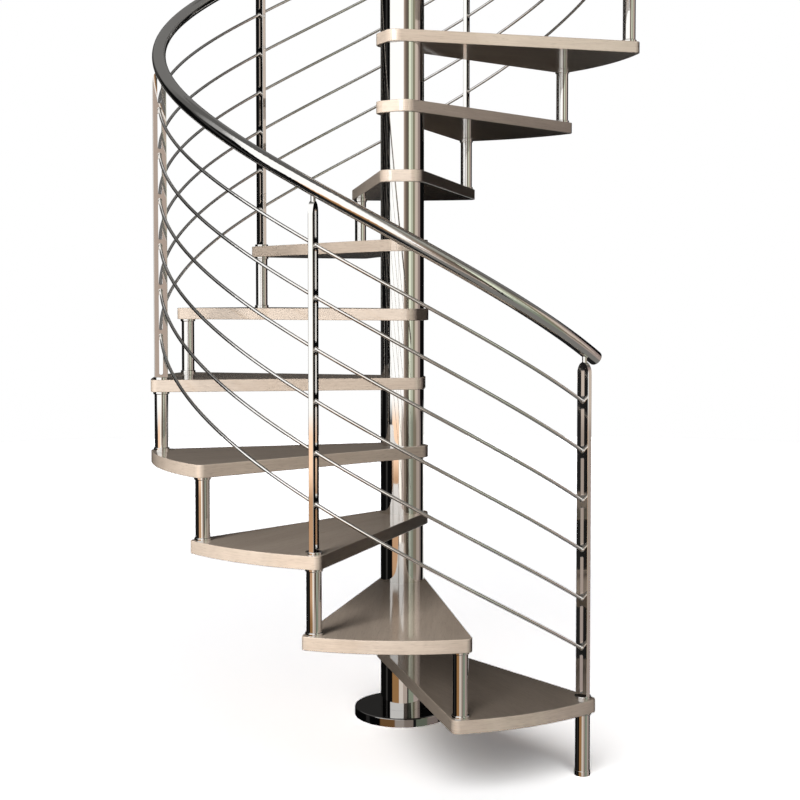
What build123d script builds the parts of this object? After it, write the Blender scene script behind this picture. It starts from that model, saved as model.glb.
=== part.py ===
from build123d import *
import os
from math import asin, atan2, cos, degrees, hypot, radians, sin, sqrt, tan

# Spiral staircase: wedge treads of wood threaded on a polished steel column,
# with tubular risers, slotted flat posts, helical rods and a round handrail.
# Millimetres, +Z up. The origin is on the floor, on the axis of the column.
# Angles are measured from +X, anticlockwise. The stair climbs clockwise.

# Stair
tread_count = 13
treads_per_turn = 12
rise = 220.0
first_joint_angle = -48.5
treads_per_bay = 2

# Treads
tread_radius = 800.0
tread_thickness = 38.0
tread_edge_radius = 2.5
tread_edge_margin = 30.0
tread_outer_corner_radius = 20.0
hub_back = 74.0
hub_half_width = 63.0
hub_corner_radius = 42.0
pole_hole_clearance = 0.4

# Column
column_radius = 69.85
column_wall = 2.5
pole_radius = 38.05
pole_wall = 3.6
column_above_top_tread = 80.0
cap_dome_height = 12.0
cap_rim_height = 4.0
cap_spigot_length = 18.0
cap_clearance = 0.3

# Base
base_plate_radius = 146.0
base_plate_thickness = 10.0
anchor_circle_radius = 112.0
anchor_hole_radius = 7.0
anchor_count = 6
base_cover_radius = 154.0
base_cover_height = 28.0
base_cover_wall = 2.0
base_cover_rounding = 4.0
base_cover_clearance = 0.3

# Risers and foot
joint_inset = 32.0
riser_radius = 21.2
riser_wall = 2.0
riser_ring_radius = 24.8
riser_ring_height = 8.0
riser_ring_rounding = 2.5
riser_ring_clearance = 0.15
foot_pad_radius = 22.6
foot_pad_height = 15.0

# Posts
post_depth = 42.0
post_width = 14.5
post_edge_radius = 1.5
post_arch_height = 36.0
post_slot_width = 12.0
post_web_height = 28.0
post_slot_top_margin = 20.0
post_slot_foot_margin = 6.0
post_foot_radius = 23.5
post_foot_height = 8.0
post_foot_rounding = 2.0

# Handrail
rail_radius = 21.2
rail_wall = 2.0
rail_height = 990.0
rail_overrun = 48.0
rail_end_dome = 6.0
rail_spigot_length = 18.0
rail_spigot_clearance = 0.4
rail_pin_radius = 7.0
rail_pin_gap = 11.8
rail_pin_clearance = 0.2

# Rods
rod_radius = 5.0
rod_count = 6
rod_spacing = 140.0
ferrule_radius = 6.4
ferrule_length = 4.0
ferrule_clearance = 0.15

# Derived
step_angle = 360.0 / treads_per_turn
tread_rest_height = rise - tread_thickness
helix_pitch = rise * treads_per_turn
bay_angle = step_angle * treads_per_bay
bay_rise = rise * treads_per_bay
bay_count = (tread_count - 1) // treads_per_bay
joint_radius = tread_radius - joint_inset
slope = atan2(rise, radians(step_angle) * joint_radius)
column_top = tread_count * rise + column_above_top_tread
rail_underside = rail_height - rail_radius / cos(slope)
post_height = rail_underside - rail_pin_gap


def joint_angle(joint):
    """Angle of a joint; joint k is where tread k hands over to tread k + 1."""
    return first_joint_angle - step_angle * joint


def on_circle(radius, angle, height=0.0):
    """Point at a radius and an angle about the column."""
    return Vector(radius * cos(radians(angle)), radius * sin(radians(angle)), height)


def tube(outer, wall, bottom, top):
    """Upright tube on the origin."""
    ring = Circle(outer) - Circle(outer - wall)
    return Pos(0, 0, bottom) * extrude(ring, amount=top - bottom)


def dome(radius, height):
    """Part of a sphere that stands on a circle of the XY plane."""
    sphere_radius = (radius**2 + height**2) / (2 * height)
    sphere = Pos(0, 0, height - sphere_radius) * Sphere(sphere_radius)
    above = Cylinder(radius, height, align=(Align.CENTER, Align.CENTER, Align.MIN))
    return sphere & above


def save(shape, node):
    """Write one node."""
    export_step(shape, os.path.join("parts", node + ".step"))


# Treads

def tread_outline():
    """Wedge along +X: flat inner end behind the column, sides that pass
    outside both outer joints, and an arc of the stair's circle."""
    half_step = step_angle / 2
    joint = on_circle(joint_radius, half_step)
    run_x = joint.X + hub_back
    run_y = joint.Y - hub_half_width
    side_angle = atan2(run_y, run_x) + asin(tread_edge_margin / hypot(run_x, run_y))
    reach = 2 * tread_radius
    outer_half_width = hub_half_width + reach * tan(side_angle)
    wedge = make_face(
        Polyline(
            (-hub_back, -hub_half_width),
            (reach - hub_back, -outer_half_width),
            (reach - hub_back, outer_half_width),
            (-hub_back, hub_half_width),
            close=True,
        )
    )
    outline = wedge & Circle(tread_radius)
    corners = outline.vertices().sort_by(Axis.X)
    outline = fillet(corners[:2], hub_corner_radius)
    corners = outline.vertices().filter_by(lambda corner: corner.X > joint.X / 2)
    return fillet(corners, tread_outer_corner_radius)


def make_tread():
    """Tread with eased edges and the hole for the pole, top face at rise."""
    board = extrude(tread_outline(), amount=tread_thickness)
    rims = board.edges().group_by(Axis.Z)
    board = fillet(rims[0] + rims[-1], tread_edge_radius)
    board -= Cylinder(
        pole_radius + pole_hole_clearance,
        tread_thickness,
        align=(Align.CENTER, Align.CENTER, Align.MIN),
    )
    return Pos(0, 0, tread_rest_height) * board


# Column and base

def make_base_plate():
    """Steel floor plate with its anchor holes."""
    plate = Cylinder(
        base_plate_radius,
        base_plate_thickness,
        align=(Align.CENTER, Align.CENTER, Align.MIN),
    )
    hole = Cylinder(
        anchor_hole_radius,
        base_plate_thickness,
        align=(Align.CENTER, Align.CENTER, Align.MIN),
    )
    for anchor in range(anchor_count):
        centre = on_circle(anchor_circle_radius, anchor * 360.0 / anchor_count)
        plate -= Pos(centre.X, centre.Y, 0) * hole
    return plate


def make_base_cover():
    """Spun cover over the plate, open below, with a hole for the column."""
    outside = Cylinder(
        base_cover_radius,
        base_cover_height,
        align=(Align.CENTER, Align.CENTER, Align.MIN),
    )
    outside = fillet(outside.edges().group_by(Axis.Z)[-1], base_cover_rounding)
    inside = Cylinder(
        base_cover_radius - base_cover_wall,
        base_cover_height - base_cover_wall,
        align=(Align.CENTER, Align.CENTER, Align.MIN),
    )
    inside = fillet(
        inside.edges().group_by(Axis.Z)[-1], base_cover_rounding - base_cover_wall
    )
    column_hole = Cylinder(
        column_radius + base_cover_clearance,
        base_cover_height,
        align=(Align.CENTER, Align.CENTER, Align.MIN),
    )
    return outside - inside - column_hole


def make_column_sleeves():
    """Polished tubes that space the hubs: one below each tread, one on top."""
    sleeves = [tube(column_radius, column_wall, base_plate_thickness, tread_rest_height)]
    for tread in range(1, tread_count):
        low = tread * rise
        sleeves.append(tube(column_radius, column_wall, low, low + tread_rest_height))
    sleeves.append(tube(column_radius, column_wall, tread_count * rise, column_top))
    return Compound(sleeves)


def make_column_cap():
    """Domed cap with a rim on the top sleeve and a spigot inside it."""
    spigot_radius = column_radius - column_wall - cap_clearance
    rim = Pos(0, 0, column_top) * Cylinder(
        column_radius, cap_rim_height, align=(Align.CENTER, Align.CENTER, Align.MIN)
    )
    spigot = Pos(0, 0, column_top - cap_spigot_length) * Cylinder(
        spigot_radius, cap_spigot_length, align=(Align.CENTER, Align.CENTER, Align.MIN)
    )
    crown = Pos(0, 0, column_top + cap_rim_height) * dome(column_radius, cap_dome_height)
    return rim + spigot + crown


# Risers and foot

def make_riser_tubes():
    """Tubes from each tread's back corner to the front corner of the next."""
    risers = []
    for joint in range(1, tread_count):
        low = joint * rise
        place = on_circle(joint_radius, joint_angle(joint))
        riser = tube(riser_radius, riser_wall, low, low + tread_rest_height)
        risers.append(Pos(place.X, place.Y, 0) * riser)
    return Compound(risers)


def make_foot_tube():
    """Tube that carries the first tread's front corner."""
    place = on_circle(joint_radius, joint_angle(0))
    return Pos(place.X, place.Y, 0) * tube(
        riser_radius, riser_wall, foot_pad_height, tread_rest_height
    )


def make_riser_ring():
    """Rounded ring round the lower end of a riser, flat below."""
    ring = Cylinder(
        riser_ring_radius, riser_ring_height, align=(Align.CENTER, Align.CENTER, Align.MIN)
    )
    ring = fillet(ring.edges().group_by(Axis.Z)[-1], riser_ring_rounding)
    bore = Cylinder(
        riser_radius + riser_ring_clearance,
        riser_ring_height,
        align=(Align.CENTER, Align.CENTER, Align.MIN),
    )
    return ring - bore


def make_riser_rings():
    """Rings at both ends of each riser and at the top of the foot tube."""
    lower = make_riser_ring()
    upper = Pos(0, 0, tread_rest_height) * Rot(180, 0, 0) * lower
    rings = []
    for joint in range(tread_count):
        place = on_circle(joint_radius, joint_angle(joint), joint * rise)
        ends = (upper,) if joint == 0 else (lower, upper)
        rings += [Location(place) * end for end in ends]
    return Compound(rings)


def make_foot_pad():
    """Round pad between the foot tube and the floor."""
    place = on_circle(joint_radius, joint_angle(0))
    pad = Cylinder(
        foot_pad_radius, foot_pad_height, align=(Align.CENTER, Align.CENTER, Align.MIN)
    )
    ring = pad.edges().group_by(Axis.Z)[-1]
    pad = fillet(ring, foot_pad_radius - riser_radius)
    return Pos(place.X, place.Y, 0) * pad


# Posts

def post_blank():
    """Post profile along +X as a square-ended bar, for trimming what meets it."""
    return Box(
        post_depth,
        post_width,
        post_height - post_foot_height,
        align=(Align.CENTER, Align.CENTER, Align.MIN),
    )


def make_arched_bar():
    """Flat bar with eased edges and an arched top, before its slots."""
    body_height = post_height - post_foot_height
    section = RectangleRounded(post_depth, post_width, post_edge_radius)
    bar = extrude(section, amount=body_height)
    shoulder = body_height - post_arch_height
    arch = Plane.XZ * Pos(0, shoulder) * Ellipse(post_depth / 2, post_arch_height)
    below = Plane.XZ * Pos(0, shoulder / 2) * Rectangle(post_depth, shoulder)
    front_view = extrude(arch + below, amount=post_width, both=True)
    return Pos(0, 0, post_foot_height) * (bar & front_view)


def slot_spans():
    """Bottom and top of each slot of a post, between the webs that hold the rods."""
    webs = [row * rod_spacing for row in range(1, rod_count + 1)]
    bottoms = [post_foot_height + post_slot_foot_margin]
    bottoms += [web + post_web_height / 2 for web in webs]
    tops = [web - post_web_height / 2 for web in webs]
    tops.append(post_height - post_slot_top_margin)
    spans = zip(bottoms, tops)
    return [(low, high) for low, high in spans if high - low > post_slot_width]


def make_post():
    """Arched bar with see-through slots that have round ends."""
    post = make_arched_bar()
    for low, high in slot_spans():
        slot = Plane.XZ * Pos(0, (low + high) / 2) * SlotOverall(
            high - low, post_slot_width, rotation=90
        )
        post -= extrude(slot, amount=post_width, both=True)
    return post


def make_post_foot():
    """Round polished foot between a post and its tread."""
    foot = Cylinder(
        post_foot_radius, post_foot_height, align=(Align.CENTER, Align.CENTER, Align.MIN)
    )
    return fillet(foot.edges().group_by(Axis.Z)[-1], post_foot_rounding)


def at_post(shape, bay):
    """Copy of a shape made along +X at tread level, at the start of a bay."""
    joint = bay * treads_per_bay
    angle = joint_angle(joint)
    place = on_circle(joint_radius, angle, (joint + 1) * rise)
    return Location(place, (0, 0, angle)) * shape


# Handrail and rods

def helix_path(start_angle, end_angle):
    """Helix of the joint circle between two angles of a climb that starts at
    zero on +X and height zero and turns clockwise."""
    sweep_angle = end_angle - start_angle
    height = rise * sweep_angle / step_angle
    path = Helix(helix_pitch, height, joint_radius, lefthand=True)
    start_height = rise * start_angle / step_angle
    return Pos(0, 0, start_height) * Rot(0, 0, -start_angle) * path


def swept(section, path):
    """Section swept square to a path."""
    plane = Plane(origin=path @ 0, z_dir=path % 0, x_dir=(0, 0, 1))
    return sweep(plane * section, path=path, is_frenet=True)


def make_rail(start_angle, end_angle):
    """Stretch of the tubular handrail, at rail height over tread level."""
    ring = Circle(rail_radius) - Circle(rail_radius - rail_wall)
    return Pos(0, 0, rail_height) * swept(ring, helix_path(start_angle, end_angle))


def make_rail_cap(angle, way):
    """Domed plug on an end of the handrail, with a spigot inside the tube;
    way is 1 at the top, -1 below."""
    spigot = Cylinder(
        rail_radius - rail_wall - rail_spigot_clearance,
        rail_spigot_length,
        align=(Align.CENTER, Align.CENTER, Align.MAX),
    )
    plug = dome(rail_radius, rail_end_dome) + spigot
    path = helix_path(0, bay_angle) if way < 0 else helix_path(-bay_angle, 0)
    spot = path @ 0 if way < 0 else path @ 1
    tangent = path % 0 if way < 0 else path % 1
    place = Plane(origin=spot, z_dir=tangent * way, x_dir=(0, 0, 1))
    height = rail_height + rise * angle / step_angle
    return Pos(0, 0, height) * Rot(0, 0, -angle) * (place.location * plug)


def make_rail_pin():
    """Short pin from the arched top of a post to the underside of the rail."""
    arch_share = 1 - sqrt(1 - (2 * rail_pin_radius / post_depth) ** 2)
    seat = post_height - post_arch_height * arch_share
    pin = Pos(0, 0, seat) * Cylinder(
        rail_pin_radius, rail_height - seat, align=(Align.CENTER, Align.CENTER, Align.MIN)
    )
    along = Plane(origin=(0, 0, rail_height), z_dir=(0, -cos(slope), sin(slope)))
    rail_space = along * Cylinder(rail_radius + rail_pin_clearance, 4 * rail_radius)
    return pin - make_arched_bar() - rail_space


def bay_copy(shape, bay):
    """Copy of a shape made for the climb of helix_path, moved to its bay."""
    joint = bay * treads_per_bay
    return Pos(0, 0, (joint + 1) * rise) * Rot(0, 0, joint_angle(joint)) * shape


def make_rod():
    """Rod between the facing sides of two posts, at tread level."""
    rod = swept(Circle(rod_radius), helix_path(0, bay_angle))
    for turn in (0, 1):
        blank = Pos(joint_radius, 0, -post_height / 2) * post_blank()
        rod -= Pos(0, 0, turn * bay_rise) * Rot(0, 0, -turn * bay_angle) * blank
    return rod


def make_ferrules():
    """Collars on the two ends of a rod, flat against the posts."""
    reach = degrees((post_width / 2 / cos(slope) + ferrule_length) * cos(slope) / joint_radius)
    ring = Circle(ferrule_radius) - Circle(rod_radius + ferrule_clearance)
    ferrules = []
    for start, end, turn in ((0, reach, 0), (bay_angle - reach, bay_angle, 1)):
        collar = swept(ring, helix_path(start, end))
        blank = Pos(joint_radius, 0, -post_height / 2) * post_blank()
        collar -= Pos(0, 0, turn * bay_rise) * Rot(0, 0, -turn * bay_angle) * blank
        ferrules.append(collar)
    return ferrules


def main():
    """Make every node and write it."""
    os.makedirs("parts", exist_ok=True)

    save(make_base_plate(), "base_plate")
    save(make_base_cover(), "base_cover")
    pole_top = column_top - cap_spigot_length
    save(tube(pole_radius, pole_wall, base_plate_thickness, pole_top), "centre_pole")
    save(make_column_sleeves(), "column_sleeves")
    save(make_column_cap(), "column_cap")

    tread = make_tread()
    for number in range(1, tread_count + 1):
        middle = joint_angle(number - 1) - step_angle / 2
        placed = Pos(0, 0, (number - 1) * rise) * Rot(0, 0, middle) * tread
        save(placed, f"tread_{number:02d}")

    save(make_riser_tubes(), "riser_tubes")
    save(make_riser_rings(), "riser_rings")
    save(make_foot_tube(), "foot_tube")
    save(make_foot_pad(), "foot_pad")

    post = make_post()
    foot = make_post_foot()
    pin = make_rail_pin()
    for bay in range(bay_count + 1):
        save(at_post(post, bay), f"post_{bay + 1}")
    save(Compound([at_post(foot, bay) for bay in range(bay_count + 1)]), "post_feet")
    save(Compound([at_post(pin, bay) for bay in range(bay_count + 1)]), "rail_pins")

    overrun_angle = degrees(rail_overrun / joint_radius)
    for bay in range(bay_count):
        start = -overrun_angle if bay == 0 else 0
        end = bay_angle + overrun_angle if bay == bay_count - 1 else bay_angle
        save(bay_copy(make_rail(start, end), bay), f"handrail_{bay + 1}")
    lower_cap = bay_copy(make_rail_cap(-overrun_angle, -1), 0)
    upper_cap = bay_copy(make_rail_cap(bay_angle + overrun_angle, 1), bay_count - 1)
    save(Compound([lower_cap, upper_cap]), "rail_end_caps")

    rod = make_rod()
    ferrules = make_ferrules()
    all_ferrules = []
    for bay in range(bay_count):
        rods = []
        for row in range(1, rod_count + 1):
            level = Pos(0, 0, row * rod_spacing)
            rods.append(bay_copy(level * rod, bay))
            all_ferrules += [bay_copy(level * ferrule, bay) for ferrule in ferrules]
        save(Compound(rods), f"rods_{bay + 1}")
    save(Compound(all_ferrules), "rod_ferrules")


main()
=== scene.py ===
"""Looks of a spiral staircase: finishes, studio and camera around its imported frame."""

import logging
import math
from dataclasses import dataclass
from enum import Enum
from typing import Any, Iterable

import bpy
from mathutils import Euler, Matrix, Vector


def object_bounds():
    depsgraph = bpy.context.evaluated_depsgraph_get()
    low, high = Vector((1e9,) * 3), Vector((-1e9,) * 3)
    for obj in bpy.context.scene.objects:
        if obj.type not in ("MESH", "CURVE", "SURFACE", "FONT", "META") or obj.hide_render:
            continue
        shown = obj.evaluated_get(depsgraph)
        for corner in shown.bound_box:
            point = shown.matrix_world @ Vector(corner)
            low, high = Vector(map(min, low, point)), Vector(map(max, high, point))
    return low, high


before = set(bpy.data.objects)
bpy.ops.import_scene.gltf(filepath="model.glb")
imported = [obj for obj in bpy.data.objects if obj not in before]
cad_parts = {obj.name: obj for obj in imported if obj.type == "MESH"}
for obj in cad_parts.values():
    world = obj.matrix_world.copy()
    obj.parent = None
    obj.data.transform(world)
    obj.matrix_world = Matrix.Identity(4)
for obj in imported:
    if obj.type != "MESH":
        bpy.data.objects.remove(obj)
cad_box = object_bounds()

log = logging.getLogger("staircase")

FULL_TURN = 360.0
NOISE_MEAN = 0.5

Triple = tuple[float, float, float]
Colour = Triple


class Wire:
    """A socket that takes part in Python expressions and adds Math nodes for them."""

    def __init__(self, sheet: "ShaderSheet", socket: bpy.types.NodeSocket) -> None:
        """Keep the socket and its sheet.

        Args:
            sheet: The node sheet that new Math nodes go on.
            socket: An output socket.
        """
        self.sheet = sheet
        self.socket = socket

    def _math(self, operation: str, first: Any, second: Any) -> "Wire":
        """Add one Math node and return its value."""
        return self.sheet.wire("ShaderNodeMath", {"operation": operation}, {0: first, 1: second})

    def __add__(self, other: Any) -> "Wire":
        """Sum of the two values."""
        return self._math("ADD", self, other)

    __radd__ = __add__

    def __sub__(self, other: Any) -> "Wire":
        """This value less the other."""
        return self._math("SUBTRACT", self, other)

    def __rsub__(self, other: Any) -> "Wire":
        """The other value less this one."""
        return self._math("SUBTRACT", other, self)

    def __mul__(self, other: Any) -> "Wire":
        """Product of the two values."""
        return self._math("MULTIPLY", self, other)

    __rmul__ = __mul__


class ShaderSheet:
    """The node sheet of one material or world."""

    MIX_FIRST = 6
    MIX_SECOND = 7
    MIX_RESULT = 2

    def __init__(self, tree: bpy.types.NodeTree) -> None:
        """Empty the tree and keep it."""
        self.tree = tree
        tree.nodes.clear()

    def node(
        self,
        kind: str,
        settings: dict[str, Any] | None = None,
        inputs: dict[str | int, Any] | None = None,
    ) -> bpy.types.Node:
        """Add a node, set it up and fill its sockets.

        Args:
            kind: The node's type.
            settings: Attributes set first; "stops" are a colour ramp's stops.
            inputs: Values, sockets or Wires for the input sockets, by name or number.

        Returns:
            The new node.
        """
        made = self.tree.nodes.new(kind)
        for name, value in (settings or {}).items():
            if name == "stops":
                self._set_stops(made.color_ramp, value)
            else:
                setattr(made, name, value)
        for key, value in (inputs or {}).items():
            source = value.socket if isinstance(value, Wire) else value
            if isinstance(source, bpy.types.NodeSocket):
                self.tree.links.new(source, made.inputs[key])
            else:
                made.inputs[key].default_value = source
        return made

    def wire(
        self,
        kind: str,
        settings: dict[str, Any] | None = None,
        inputs: dict[str | int, Any] | None = None,
        output: str | int = 0,
    ) -> Wire:
        """Add a node and return one of its outputs.

        Args:
            kind: The node's type.
            settings: Attributes, as for node.
            inputs: Values for the input sockets, as for node.
            output: The output's name or number.

        Returns:
            The output as a Wire.
        """
        return Wire(self, self.node(kind, settings, inputs).outputs[output])

    @staticmethod
    def _set_stops(ramp: bpy.types.ColorRamp, stops: list[tuple[float, Colour]]) -> None:
        """Give a colour ramp its stops.

        Args:
            ramp: The ramp.
            stops: Places from 0 to 1, with colours.
        """
        while len(ramp.elements) < len(stops):
            ramp.elements.new(1.0)
        for element, (position, colour) in zip(ramp.elements, stops):
            element.position = position
            element.color = (*colour, 1.0)

    def place(self) -> Wire:
        """Place on the object, in metres."""
        return self.wire("ShaderNodeTexCoord", output="Object")

    def noise(self, place: Wire, scale: float, detail: float, distortion: float = 0.0) -> Wire:
        """Add noise.

        Args:
            place: Where the noise is read.
            scale: How many cells there are to one unit of place.
            detail: How many finer layers are added.
            distortion: How far the cells are bent.

        Returns:
            The noise, from 0 to 1 and NOISE_MEAN on average.
        """
        inputs = {"Vector": place, "Scale": scale, "Detail": detail, "Distortion": distortion}
        return self.wire("ShaderNodeTexNoise", None, inputs)

    def mix(self, share: Wire, first: Wire | Colour, second: Wire | Colour) -> Wire:
        """Blend from one colour to another.

        Args:
            share: How much of the second colour there is, held between 0 and 1.
            first: The colour at a share of 0.
            second: The colour at a share of 1.

        Returns:
            The blended colour.
        """
        ends = [end if isinstance(end, Wire) else (*end, 1.0) for end in (first, second)]
        inputs = {"Factor": share, self.MIX_FIRST: ends[0], self.MIX_SECOND: ends[1]}
        return self.wire("ShaderNodeMix", {"data_type": "RGBA"}, inputs, self.MIX_RESULT)

    def climb(
        self, value: Wire, start: float, end: float, low: float = 0.0, high: float = 1.0
    ) -> Wire:
        """Go evenly from one value to another, and stay level outside.

        Args:
            value: What the climb follows.
            start: Where on that value the climb starts.
            end: Where on that value the climb ends.
            low: The result up to the start.
            high: The result from the end on.

        Returns:
            The result.
        """
        inputs = {
            "Value": value,
            "From Min": start,
            "From Max": end,
            "To Min": low,
            "To Max": high,
        }
        return self.wire("ShaderNodeMapRange", None, inputs)

    def bump(self, height: Wire, depth: float, strength: float) -> Wire:
        """Tilt the surface by a height.

        Args:
            height: The height, from 0 to 1.
            depth: What a height of 1 stands for, in metres.
            strength: Share of the tilt that is used.

        Returns:
            The tilted normal.
        """
        inputs = {"Height": height, "Distance": depth, "Strength": strength}
        return self.wire("ShaderNodeBump", None, inputs)

    def finish(
        self,
        shader: str,
        inputs: dict[str | int, Any],
        output: str = "ShaderNodeOutputMaterial",
    ) -> None:
        """Add the shader and the output node.

        Args:
            shader: The shader node's type.
            inputs: Values for its sockets, as for node.
            output: The output node's type.
        """
        self.node(output, None, {"Surface": self.wire(shader, None, inputs)})


def new_material(name: str) -> tuple[bpy.types.Material, ShaderSheet]:
    """Make an empty node material.

    Args:
        name: The material's name.

    Returns:
        The material and its node sheet.
    """
    material = bpy.data.materials.new(name)
    material.use_nodes = True
    return material, ShaderSheet(material.node_tree)


def dress(material: bpy.types.Material, *nodes: str) -> None:
    """Give every material slot of some CAD nodes the same material.

    Args:
        material: The material.
        nodes: The nodes' names.
    """
    for node in nodes:
        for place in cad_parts[node].material_slots:
            place.material = material
        log.info("%s dressed in %s", node, material.name)


@dataclass(frozen=True)
class Grain:
    """Noise drawn out along a board; its scale is in cells a metre, along, across and through."""

    scale: Triple
    detail: float
    distortion: float = 0.0

    def draw(self, sheet: ShaderSheet, board: Wire, shift: Triple) -> Wire:
        """Draw the noise on a board.

        Args:
            sheet: The node sheet of the board's material.
            board: Place in the board's own frame, with +X along it.
            shift: Picks the stretch of noise that this board shows.

        Returns:
            The noise, from 0 to 1 and NOISE_MEAN on average.
        """
        inputs = {"Vector": board, "Location": shift, "Scale": self.scale}
        stretched = sheet.wire("ShaderNodeMapping", None, inputs)
        return sheet.noise(stretched, 1.0, self.detail, self.distortion)


@dataclass(frozen=True)
class BleachedWood:
    """Bleached hardwood under a clear satin lacquer."""

    pale: Colour = (0.67, 0.57, 0.48)
    deep: Colour = (0.52, 0.43, 0.355)
    pore: Colour = (0.36, 0.29, 0.235)
    figure: Grain = Grain((1.6, 17.0, 17.0), detail=3.0, distortion=0.6)
    edge_fibres: Grain = Grain((10.0, 10.0, 330.0), detail=3.0, distortion=0.2)
    face_fibres: Grain = Grain((9.0, 190.0, 190.0), detail=4.0, distortion=0.2)
    edge_pores: Grain = Grain((40.0, 40.0, 620.0), detail=1.0)
    face_pores: Grain = Grain((40.0, 520.0, 520.0), detail=1.0)
    board_shift: Triple = (1.7, 0.61, 0.37)
    figure_share: float = 1.1
    fibre_share: float = 1.3
    tone_offset: float = -0.7
    pore_start: float = 0.60
    pore_full: float = 0.72
    pore_share: float = 0.5
    fibre_depth: float = 0.00012
    fibre_relief: float = 0.35
    roughness: float = 0.45
    roughness_spread: float = 0.16
    coat: float = 1.0
    coat_roughness: float = 0.07
    coat_ior: float = 1.8

    def material(self, name: str, turn: float, number: int) -> bpy.types.Material:
        """Make the wood of one board, with its grain along the board.

        Args:
            name: The material's name.
            turn: Angle of the board's long axis from +X, in radians.
            number: Number of the board, which picks its stretch of grain.

        Returns:
            The material.
        """
        material, sheet = new_material(name)
        board = sheet.wire(
            "ShaderNodeVectorRotate",
            {"rotation_type": "Z_AXIS"},
            {"Vector": sheet.place(), "Angle": -turn},
        )
        facing = sheet.wire("ShaderNodeTexCoord", output="Normal")
        up = sheet.wire("ShaderNodeSeparateXYZ", None, {0: facing}, "Z")
        level = up * up
        shift = tuple(number * step for step in self.board_shift)

        def blend(on_edge: Grain, on_face: Grain) -> Wire:
            """One grain on the upright edges and another on the top and underside."""
            edge = on_edge.draw(sheet, board, shift)
            return edge + (on_face.draw(sheet, board, shift) - edge) * level

        figure = self.figure.draw(sheet, board, shift)
        fibres = blend(self.edge_fibres, self.face_fibres)
        pores = blend(self.edge_pores, self.face_pores)
        pore_mask = sheet.climb(pores, self.pore_start, self.pore_full)
        tone_share = figure * self.figure_share + fibres * self.fibre_share + self.tone_offset
        tone = sheet.mix(tone_share, self.deep, self.pale)
        relief = fibres - pore_mask * self.pore_share
        sheet.finish(
            "ShaderNodeBsdfPrincipled",
            {
                "Base Color": sheet.mix(pore_mask * self.pore_share, tone, self.pore),
                "Roughness": (fibres - NOISE_MEAN) * self.roughness_spread + self.roughness,
                "Coat Weight": self.coat,
                "Coat Roughness": self.coat_roughness,
                "Coat IOR": self.coat_ior,
                "Normal": sheet.bump(relief, self.fibre_depth, self.fibre_relief),
            },
        )
        return material


@dataclass(frozen=True)
class PolishedSteel:
    """Stainless steel polished to a mirror, with faint lines along the tube."""

    colour: Colour = (0.83, 0.82, 0.80)
    smear: Colour = (0.76, 0.75, 0.74)
    roughness: float = 0.045
    roughness_spread: float = 0.03
    haze_scale: float = 9.0
    haze_detail: float = 4.0
    line_scale: Triple = (380.0, 380.0, 3.0)
    line_detail: float = 2.0
    line_depth: float = 0.00002
    line_relief: float = 0.12

    def material(self, name: str) -> bpy.types.Material:
        """Make the steel.

        Args:
            name: The material's name.

        Returns:
            The material.
        """
        material, sheet = new_material(name)
        place = sheet.place()
        inputs = {"Vector": place, "Scale": self.line_scale}
        stretched = sheet.wire("ShaderNodeMapping", None, inputs)
        lines = sheet.noise(stretched, 1.0, self.line_detail)
        haze = sheet.noise(place, self.haze_scale, self.haze_detail)
        sheet.finish(
            "ShaderNodeBsdfPrincipled",
            {
                "Base Color": sheet.mix(haze, self.colour, self.smear),
                "Metallic": 1.0,
                "Roughness": (haze - NOISE_MEAN) * self.roughness_spread + self.roughness,
                "Normal": sheet.bump(lines, self.line_depth, self.line_relief),
            },
        )
        return material


@dataclass(frozen=True)
class MillSteel:
    """Plain structural steel with its dull mill skin."""

    dark: Colour = (0.16, 0.165, 0.17)
    light: Colour = (0.34, 0.34, 0.35)
    metallic: float = 0.9
    roughness: float = 0.42
    roughness_spread: float = 0.2
    skin_scale: float = 26.0
    skin_detail: float = 6.0
    skin_depth: float = 0.0003
    skin_relief: float = 0.3

    def material(self, name: str) -> bpy.types.Material:
        """Make the steel.

        Args:
            name: The material's name.

        Returns:
            The material.
        """
        material, sheet = new_material(name)
        skin = sheet.noise(sheet.place(), self.skin_scale, self.skin_detail)
        sheet.finish(
            "ShaderNodeBsdfPrincipled",
            {
                "Base Color": sheet.mix(skin, self.dark, self.light),
                "Metallic": self.metallic,
                "Roughness": (skin - NOISE_MEAN) * self.roughness_spread + self.roughness,
                "Normal": sheet.bump(skin, self.skin_depth, self.skin_relief),
            },
        )
        return material


@dataclass
class TreadFlight:
    """The wedge treads of wood; angles in degrees from +X."""

    count: int = 13
    step_angle: float = 30.0
    first_middle_angle: float = -63.5
    finish: BleachedWood = BleachedWood()

    def nodes(self) -> list[str]:
        """List the treads' nodes, from the floor up."""
        return [f"tread_{number:02d}" for number in range(1, self.count + 1)]

    def build(self) -> None:
        """Dress each tread with grain along its own length."""
        for number, node in enumerate(self.nodes(), start=1):
            turn = math.radians(self.first_middle_angle - self.step_angle * (number - 1))
            dress(self.finish.material(f"bleached_wood_{number:02d}", turn, number), node)


@dataclass
class CentreColumn:
    """Pole, polished sleeves and domed cap."""

    steel: PolishedSteel = PolishedSteel()
    mill: MillSteel = MillSteel()

    def build(self) -> None:
        """Dress the column's nodes."""
        dress(self.steel.material("polished_column"), "column_sleeves", "column_cap")
        dress(self.mill.material("pole_steel"), "centre_pole")


@dataclass
class ColumnBase:
    """Floor plate and its spun cover, which is darker than the tubes."""

    steel: PolishedSteel = PolishedSteel(
        colour=(0.40, 0.395, 0.39), smear=(0.34, 0.335, 0.33), line_depth=0.000002
    )
    mill: MillSteel = MillSteel()

    def build(self) -> None:
        """Dress the base's nodes."""
        dress(self.steel.material("polished_cover"), "base_cover")
        dress(self.mill.material("plate_steel"), "base_plate")


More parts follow.
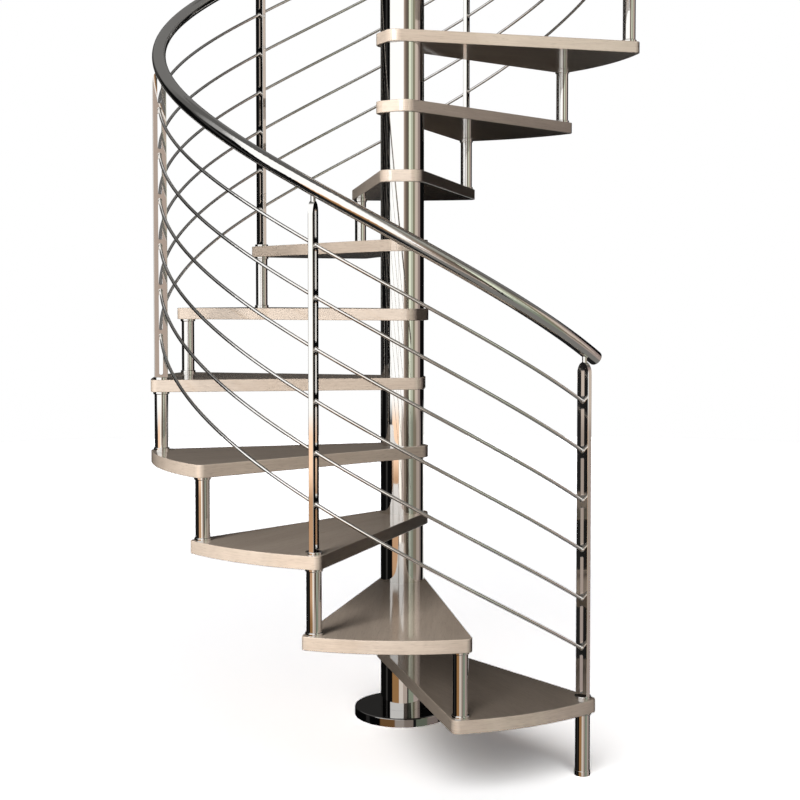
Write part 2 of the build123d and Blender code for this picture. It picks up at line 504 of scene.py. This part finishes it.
@dataclass
class RiserSet:
    """Outer riser tubes with their rings, foot tube and foot pad."""

    steel: PolishedSteel = PolishedSteel(line_depth=0.000006)

    def build(self) -> None:
        """Dress the risers' nodes."""
        polished = self.steel.material("polished_risers")
        dress(polished, "riser_tubes", "riser_rings", "foot_tube", "foot_pad")


@dataclass
class Balustrade:
    """Posts, rods and handrail."""

    bay_count: int = 6
    steel: PolishedSteel = PolishedSteel(line_depth=0.000006)
    drawn_steel: PolishedSteel = PolishedSteel(
        line_scale=(60.0, 60.0, 60.0), line_depth=0.0000005
    )

    def build(self) -> None:
        """Dress the balustrade's nodes."""
        bays = range(1, self.bay_count + 1)
        posts = [f"post_{number}" for number in range(1, self.bay_count + 2)]
        rails = [f"handrail_{bay}" for bay in bays]
        rods = [f"rods_{bay}" for bay in bays]
        dress(self.steel.material("polished_posts"), *posts, "post_feet", "rail_pins")
        dress(self.drawn_steel.material("polished_rail"), *rails, "rail_end_caps")
        dress(self.drawn_steel.material("polished_rods"), *rods, "rod_ferrules")


@dataclass(frozen=True)
class Band:
    """A stretch of the studio wall with one colour, as the polished steel shows it.

    Azimuths are in degrees from the camera's side (-Y), positive towards +X.
    """

    start: float
    end: float
    colour: Colour


@dataclass(frozen=True)
class WallTier:
    """The bands of the studio wall from a height upwards, where no later tier begins.

    One band turns into the next over blend degrees, and the tier below into this one over
    twice the fade. Bottom and fade are in metres.
    """

    bottom: float
    bands: tuple[Band, ...]
    blend: float = 1.2
    fade: float = 0.12

    def stops(self) -> list[tuple[float, Colour]]:
        """List the tier's colour stops round the whole wall.

        Returns:
            Places from 0 to 1, from behind round by the left, front and right, with colours.
        """
        margin = self.blend / 2
        stops = []
        for band in self.bands:
            stops.append(((band.start + margin) / FULL_TURN + 0.5, band.colour))
            stops.append(((band.end - margin) / FULL_TURN + 0.5, band.colour))
        return stops


def banded_glow(name: str, tiers: Iterable[WallTier], strength: float) -> bpy.types.Material:
    """Make a glow whose colour goes by azimuth and, tier by tier, by height.

    Args:
        name: The material's name.
        tiers: The tiers from the lowest up.
        strength: How strongly it glows.

    Returns:
        The material.
    """
    material, sheet = new_material(name)
    parts = sheet.node("ShaderNodeSeparateXYZ", None, {0: sheet.place()}).outputs
    forward = Wire(sheet, parts["Y"]) * -1.0
    azimuth = sheet.wire("ShaderNodeMath", {"operation": "ARCTAN2"}, {0: parts["X"], 1: forward})
    turn = azimuth * (1.0 / math.tau) + 0.5
    height = Wire(sheet, parts["Z"])
    colour = None
    for tier in tiers:
        ramp = sheet.wire("ShaderNodeValToRGB", {"stops": tier.stops()}, {"Fac": turn})
        if colour is None:
            colour = ramp
            continue
        above = sheet.climb(height, tier.bottom - tier.fade, tier.bottom + tier.fade)
        colour = sheet.mix(above, colour, ramp)
    sheet.finish("ShaderNodeEmission", {"Color": colour, "Strength": strength})
    return material


def settle_card(name: str, material: bpy.types.Material) -> bpy.types.Object:
    """Name the new primitive, move its place into its mesh and give it its material.

    Args:
        name: The card's name.
        material: The card's material.

    Returns:
        The card.
    """
    card = bpy.context.object
    card.name = name
    bpy.ops.object.transform_apply(location=True, rotation=True, scale=True)
    card.data.materials.append(material)
    log.info("%s placed", name)
    return card


def hide_from_light(card: bpy.types.Object) -> None:
    """Leave a card in reflections only, so that it neither lights nor shades the object.

    Args:
        card: The card.
    """
    card.visible_camera = False
    card.visible_diffuse = False
    card.visible_shadow = False
    card.visible_transmission = False
    card.visible_volume_scatter = False


@dataclass
class MirroredWall:
    """Round wall with a lid above and below, seen in reflections only; metres and degrees."""

    radius: float = 10.0
    foot: float = -9.0
    top: float = 20.0
    columns: int = 360
    glow: float = 1.3
    lid_blend: float = 20.0
    black: Colour = (0.003, 0.003, 0.003)
    soot: Colour = (0.03, 0.029, 0.028)
    dusk: Colour = (0.012, 0.012, 0.012)
    ash: Colour = (0.15, 0.147, 0.143)
    panel: Colour = (0.80, 0.79, 0.76)
    white: Colour = (1.0, 0.995, 0.98)
    ceiling: Colour = (0.10, 0.098, 0.095)

    def deep_bands(self) -> tuple[Band, ...]:
        """List the bands far below the floor, which the underfloor lid shows too.

        Returns:
            The bands.
        """
        return (
            Band(-180, -32, self.dusk),
            Band(-32, 108, (0.17, 0.165, 0.155)),
            Band(108, 180, self.dusk),
        )

    def low_tiers(self) -> list[WallTier]:
        """List the low tiers, whose left front goes from brown through amber to peach.

        Returns:
            The tiers, from the lowest up.
        """
        black = self.black
        left = (Band(-180, -98, black), Band(-98, -86, self.soot), Band(-86, -55, black))
        rear = (Band(146, 166, self.panel), Band(166, 180, black))
        ground = (
            Band(-55, -18, (0.26, 0.138, 0.055)),
            Band(-18, 4, (0.55, 0.49, 0.44)),
            Band(4, 26, (0.36, 0.30, 0.26)),
            Band(26, 33, (0.014, 0.014, 0.014)),
            Band(33, 62, (0.20, 0.23, 0.175)),
            Band(62, 96, (0.316, 0.26, 0.237)),
            Band(96, 146, black),
        )
        amber = Band(-55, -18, (0.49, 0.29, 0.165))
        peach = Band(-55, -18, (1.0, 0.68, 0.47))
        side = (
            Band(-18, -5, (1.0, 0.95, 0.86)),
            Band(-5, 9, (0.41, 0.34, 0.30)),
            Band(9, 20, (0.178, 0.141, 0.107)),
            Band(20, 34, (0.05, 0.04, 0.03)),
            Band(34, 48, (0.352, 0.376, 0.316)),
            Band(48, 60, (0.195, 0.209, 0.162)),
            Band(60, 80, (0.184, 0.156, 0.114)),
            Band(80, 104, (0.337, 0.279, 0.242)),
            Band(104, 115, (0.18, 0.147, 0.136)),
            Band(115, 146, black),
        )
        return [
            WallTier(bottom=-4.2, bands=(*left, *ground, *rear)),
            WallTier(bottom=-1.63, bands=(*left, amber, *side, *rear)),
            WallTier(bottom=-0.44, bands=(*left, peach, *side, *rear)),
        ]

    def upper_tier(self) -> WallTier:
        """Give the tier that the upright tubes mirror above the lowest treads.

        Returns:
            The tier.
        """
        bands = (
            Band(-180, -132, self.soot),
            Band(-132, -98, self.black),
            Band(-98, -86, self.soot),
            Band(-86, -68, self.black),
            Band(-68, 7, self.white),
            Band(7, 12.5, (0.40, 0.32, 0.27)),
            Band(12.5, 20, (0.212, 0.165, 0.127)),
            Band(20, 29, (0.12, 0.093, 0.077)),
            Band(29, 34.5, (0.095, 0.091, 0.055)),
            Band(34.5, 46, (0.71, 0.745, 0.60)),
            Band(46, 58, (0.435, 0.45, 0.36)),
            Band(58, 66, (0.195, 0.188, 0.125)),
            Band(66, 71, (0.265, 0.237, 0.174)),
            Band(71, 90, (0.527, 0.445, 0.381)),
            Band(90, 108, (0.27, 0.212, 0.195)),
            Band(108, 180, self.black),
        )
        return WallTier(bottom=0.16, bands=bands)

    def sky_tier(self) -> WallTier:
        """Give the soft tier that sloping rails and level treads mirror.

        Returns:
            The tier.
        """
        bands = (
            Band(-180, -112, self.ash),
            Band(-112, -86, (0.10, 0.098, 0.094)),
            Band(-86, -66, (0.30, 0.298, 0.294)),
            Band(-66, 10, self.white),
            Band(10, 34, (0.22, 0.20, 0.17)),
            Band(34, 66, (0.30, 0.30, 0.27)),
            Band(66, 108, (0.11, 0.10, 0.09)),
            Band(108, 180, self.ash),
        )
        return WallTier(bottom=5.9, bands=bands, blend=14.0, fade=0.8)

    def tiers(self) -> list[WallTier]:
        """List all tiers from the lowest up."""
        deep = WallTier(self.foot, self.deep_bands(), blend=self.lid_blend)
        return [deep, *self.low_tiers(), self.upper_tier(), self.sky_tier()]

    def build(self) -> None:
        """Make the wall and its lids."""
        bpy.ops.object.select_all(action="DESELECT")
        bpy.ops.mesh.primitive_cylinder_add(
            vertices=self.columns,
            radius=self.radius,
            depth=self.top - self.foot,
            location=(0, 0, (self.top + self.foot) / 2),
            end_fill_type="NOTHING",
        )
        wall = settle_card("studio_wall", banded_glow("wall_glow", self.tiers(), self.glow))
        hide_from_light(wall)
        self._lid("card_ceiling", self.top, (Band(-180, 180, self.ceiling),))
        self._lid("card_underfloor", self.foot, self.deep_bands())

    def _lid(self, name: str, height: float, bands: tuple[Band, ...]) -> None:
        """Close the wall with a level card.

        Args:
            name: The card's name.
            height: Its height.
            bands: Its colours by azimuth.
        """
        bpy.ops.object.select_all(action="DESELECT")
        bpy.ops.mesh.primitive_circle_add(
            vertices=self.columns,
            radius=self.radius,
            fill_type="NGON",
            location=(0, 0, height),
        )
        tier = WallTier(height, bands, blend=self.lid_blend)
        lid = settle_card(name, banded_glow(name, [tier], self.glow))
        hide_from_light(lid)


@dataclass
class PaleFloor:
    """Floor that takes the shadow; gains are on its light as the camera sees it."""

    radius: float = 9.0
    sides: int = 128
    gain: float = 6.2
    far_gain: float = 9.0
    shadow_reach: float = 2.5
    bounce: float = 0.03

    def material(self) -> bpy.types.Material:
        """Make the floor's material, white round the shadow and dim to all but the camera.

        Returns:
            The material.
        """
        material, sheet = new_material("pale_floor")
        distance = sheet.wire(
            "ShaderNodeVectorMath", {"operation": "LENGTH"}, {0: sheet.place()}, "Value"
        )
        gain = sheet.climb(distance, self.shadow_reach, self.radius / 2, self.gain, self.far_gain)
        seen = sheet.wire("ShaderNodeLightPath", output="Is Camera Ray")
        sheet.finish("ShaderNodeBsdfDiffuse", {"Color": seen * gain + (1 - seen) * self.bounce})
        return material

    def build(self) -> bpy.types.Object:
        """Make the floor under the object, left out of reflections.

        Returns:
            The floor.
        """
        bpy.ops.object.select_all(action="DESELECT")
        bpy.ops.mesh.primitive_circle_add(
            vertices=self.sides,
            radius=self.radius,
            fill_type="NGON",
            location=(0, 0, cad_box[0][2]),
        )
        floor = settle_card("studio_floor", self.material())
        floor.visible_glossy = False
        return floor


class Group(Enum):
    """Pieces that a lamp can light, or that can shade a lamp's light."""

    FIRST_TREAD = "first_tread"
    OTHER_TREADS = "other_treads"
    HIGH_TREADS = "high_treads"
    LOW_PIECES = "low_pieces"
    FLOOR = "floor"

    def gather(self, pieces: Iterable[bpy.types.Object]) -> bpy.types.Collection:
        """Put pieces in a collection of this group's name.

        Args:
            pieces: The pieces.

        Returns:
            The collection.
        """
        collection = bpy.data.collections.new(self.value)
        for piece in pieces:
            collection.objects.link(piece)
        return collection


@dataclass(frozen=True)
class Lamp:
    """What every lamp has; level 1 lights a surface that faces it as its colour is written.

    Azimuth and elevation are in degrees, from the camera's side (-Y) and positive towards +X.
    With no group that shades it, every piece does.
    """

    name: str
    azimuth: float
    elevation: float
    level: float
    lights: Group
    shaded_by: Group | None = None
    tint: Colour = (1.0, 1.0, 1.0)
    mirrored: bool = False

    def direction(self) -> Vector:
        """Unit vector from the object to the lamp."""
        turn = math.radians(self.azimuth)
        rise = math.radians(self.elevation)
        across = math.cos(rise)
        return Vector((math.sin(turn) * across, -math.cos(turn) * across, math.sin(rise)))

    def hang(
        self,
        light: bpy.types.Light,
        groups: dict[Group, bpy.types.Collection],
        distance: float = 0.0,
        aim_height: float = 0.0,
    ) -> None:
        """Put the lamp in its place, turned to the object.

        Args:
            light: The lamp's data.
            groups: The collections of all groups.
            distance: How far it hangs from its aim.
            aim_height: Height on the stair's axis that it is aimed at.
        """
        light.color = self.tint
        holder = bpy.data.objects.new(self.name, light)
        holder.visible_glossy = self.mirrored
        bpy.context.scene.collection.objects.link(holder)
        holder.light_linking.receiver_collection = groups[self.lights]
        if self.shaded_by:
            holder.light_linking.blocker_collection = groups[self.shaded_by]
        source = self.direction()
        holder.location = source * distance + Vector((0, 0, aim_height))
        holder.rotation_euler = source.to_track_quat("Z", "Y").to_euler()
        log.info("%s hung", self.name)


@dataclass(frozen=True)
class SoftBox(Lamp):
    """A round soft lamp that hangs near the object, so that its light falls off with depth."""

    size: float = 2.6
    distance: float = 4.2
    aim_height: float = 1.3

    def build(self, groups: dict[Group, bpy.types.Collection]) -> None:
        """Make the lamp.

        Args:
            groups: The collections of all groups.
        """
        light = bpy.data.lights.new(self.name, "AREA")
        light.shape = "DISK"
        light.size = self.size
        light.energy = math.pi**2 * self.distance**2 * self.level
        self.hang(light, groups, self.distance, self.aim_height)


@dataclass(frozen=True)
class FarLamp(Lamp):
    """A distant soft lamp, which lights all places alike; spread in degrees."""

    spread: float = 60.0

    def build(self, groups: dict[Group, bpy.types.Collection]) -> None:
        """Make the lamp.

        Args:
            groups: The collections of all groups.
        """
        light = bpy.data.lights.new(self.name, "SUN")
        light.energy = math.pi * self.level
        light.angle = math.radians(self.spread)
        self.hang(light, groups)


@dataclass
class Studio:
    """Floor, world, lamps and mirrored wall, none of which is part of the object."""

    floor: PaleFloor
    wall: MirroredWall
    ambient: Colour = (0.03, 0.03, 0.032)
    backdrop: Colour = (1.0, 1.0, 1.0)
    warm: Colour = (1.0, 0.97, 0.93)
    amber: Colour = (1.0, 0.93, 0.85)
    first_high_tread: int = 8
    low_nodes: tuple[str, ...] = (
        "tread_01",
        "foot_tube",
        "foot_pad",
        "base_cover",
        "riser_tubes",
    )

    def lamps(self) -> list[SoftBox | FarLamp]:
        """List the lamps: soft boxes for the treads, and a distant lamp for the floor.

        Returns:
            The lamps, not yet made.
        """
        key = SoftBox(
            name="key",
            azimuth=-33,
            elevation=10,
            level=1.42,
            lights=Group.OTHER_TREADS,
            tint=self.warm,
            size=2.4,
            distance=6.0,
        )
        sheen = SoftBox(
            name="sheen",
            azimuth=-28,
            elevation=24,
            level=0.36,
            lights=Group.HIGH_TREADS,
            tint=self.warm,
            mirrored=True,
            size=2.8,
        )
        first_key = SoftBox(
            name="first_key",
            azimuth=-12,
            elevation=11,
            level=0.82,
            lights=Group.FIRST_TREAD,
            tint=self.warm,
            aim_height=0.25,
        )
        top_light = SoftBox(
            name="top_light",
            azimuth=-50,
            elevation=62,
            level=0.08,
            lights=Group.OTHER_TREADS,
            size=4.0,
            distance=5.0,
        )
        back_fill = SoftBox(
            name="back_fill",
            azimuth=165,
            elevation=16,
            level=0.34,
            lights=Group.OTHER_TREADS,
            tint=self.amber,
            size=2.5,
            distance=5.0,
        )
        floor_light = FarLamp(
            name="floor_light",
            azimuth=-8,
            elevation=42,
            level=0.2,
            lights=Group.FLOOR,
            shaded_by=Group.LOW_PIECES,
        )
        return [key, sheen, first_key, top_light, back_fill, floor_light]

    def groups(self, floor: bpy.types.Object) -> dict[Group, bpy.types.Collection]:
        """Gather the pieces that lamps light or are shaded by.

        Args:
            floor: The floor.

        Returns:
            The collection of each group.
        """
        treads = TreadFlight().nodes()
        names = {
            Group.FIRST_TREAD: treads[:1],
            Group.OTHER_TREADS: treads[1:],
            Group.HIGH_TREADS: treads[self.first_high_tread - 1 :],
            Group.LOW_PIECES: self.low_nodes,
        }
        pieces = {group: [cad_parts[node] for node in names[group]] for group in names}
        pieces[Group.FLOOR] = [floor]
        return {group: group.gather(pieces[group]) for group in Group}

    def build(self) -> None:
        """Make the whole studio."""
        groups = self.groups(self.floor.build())
        self.build_world()
        self.wall.build()
        for lamp in self.lamps():
            lamp.build(groups)

    def build_world(self) -> None:
        """White for the camera and for reflections, a faint fill for the rest."""
        world = bpy.data.worlds.new("studio_world")
        world.use_nodes = True
        sheet = ShaderSheet(world.node_tree)
        path = sheet.node("ShaderNodeLightPath")
        seen = Wire(sheet, path.outputs["Is Camera Ray"])
        mirrored = Wire(sheet, path.outputs["Is Glossy Ray"])
        through = Wire(sheet, path.outputs["Is Transmission Ray"])
        colour = sheet.mix(seen + mirrored + through, self.ambient, self.backdrop)
        inputs = {"Color": colour, "Strength": 1.0}
        sheet.finish("ShaderNodeBackground", inputs, "ShaderNodeOutputWorld")
        bpy.context.scene.world = world


@dataclass(frozen=True)
class PhotoCamera:
    """Camera at the photograph's viewing angle; lengths in metres, angles in degrees."""

    picture_size: float = 800.0
    focal_pixels: float = 1363.4
    principal_row: float = 352.0
    sensor_width: float = 36.0
    reach: float = 60.0
    place: Triple = (-0.0255, -4.4007, 1.3557)
    pitch: float = -2.295
    yaw: float = 0.236

    def build(self) -> None:
        """Make the camera and use it."""
        lens = bpy.data.cameras.new("photo_camera")
        lens.sensor_width = self.sensor_width
        lens.sensor_fit = "HORIZONTAL"
        lens.lens = self.focal_pixels / self.picture_size * self.sensor_width
        lens.shift_y = (self.principal_row - self.picture_size / 2) / self.picture_size
        lens.clip_end = self.reach
        camera = bpy.data.objects.new("photo_camera", lens)
        camera.location = self.place
        tilt = math.radians(90.0 + self.pitch)
        camera.rotation_euler = Euler((tilt, 0.0, math.radians(-self.yaw)), "XYZ")
        bpy.context.scene.collection.objects.link(camera)
        bpy.context.scene.camera = camera
        log.info("camera placed")


def main() -> None:
    """Build the camera, the studio and each sub-assembly in order."""
    logging.basicConfig(level=logging.INFO)
    bpy.context.scene.view_settings.view_transform = "Standard"
    for part in (
        PhotoCamera(),
        Studio(PaleFloor(), MirroredWall()),
        TreadFlight(),
        CentreColumn(),
        ColumnBase(),
        RiserSet(),
        Balustrade(),
    ):
        part.build()


if __name__ == "__main__":
    main()
